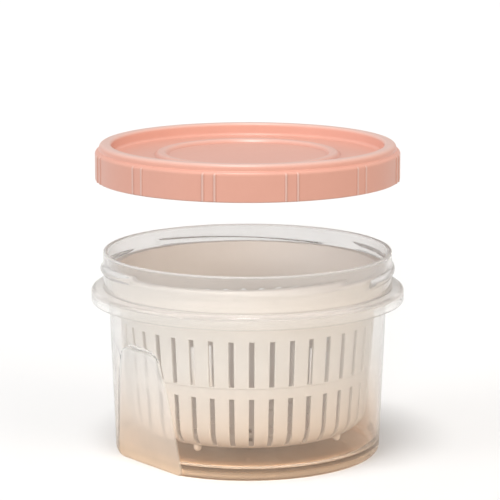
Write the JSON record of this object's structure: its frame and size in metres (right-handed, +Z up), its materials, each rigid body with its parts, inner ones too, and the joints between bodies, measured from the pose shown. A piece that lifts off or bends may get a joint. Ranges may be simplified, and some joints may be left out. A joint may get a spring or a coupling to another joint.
{
  "type": "food storage box with drainer",
  "caption": "Round clear food storage box with a screw lid and a lift-out slotted drain basket that stands on a ledge under the neck, above a water sump.",
  "frame": {"origin": "middle of the box's base, on the surface that it stands on", "axes": "+Z up along the box's axis, -Y towards the front that the picture shows, +X to the viewer's right"},
  "size_m": [0.1402, 0.1402, 0.1399],
  "materials": {
    "clear_plastic": "clear, slightly milky polypropylene",
    "white_plastic": "satin moulded white plastic",
    "pink_plastic": "satin moulded pink plastic",
    "silicone": "soft translucent silicone"
  },
  "bodies": {
    "box": {"outer_box": "clear_plastic"},
    "basket": {"drain_basket": "white_plastic"},
    "seal": {"lid_seal": "silicone"},
    "lid": {"screw_lid": "pink_plastic"}
  },
  "joints": [
    {"name": "basket_lift", "type": "slide", "parent": "box", "child": "basket", "axis": [0, 0, 1], "range_m": [0, 0.095]},
    {"name": "lid_lift", "type": "slide", "parent": "basket", "child": "seal", "axis": [0, 0, 1], "range_m": [-0.0454, 0.03]},
    {"name": "lid_turn", "type": "hinge", "parent": "seal", "child": "lid", "pos_m": [0, 0, 0.13], "axis": [0, 0, 1], "range_deg": [-45, 0]}
  ]
}
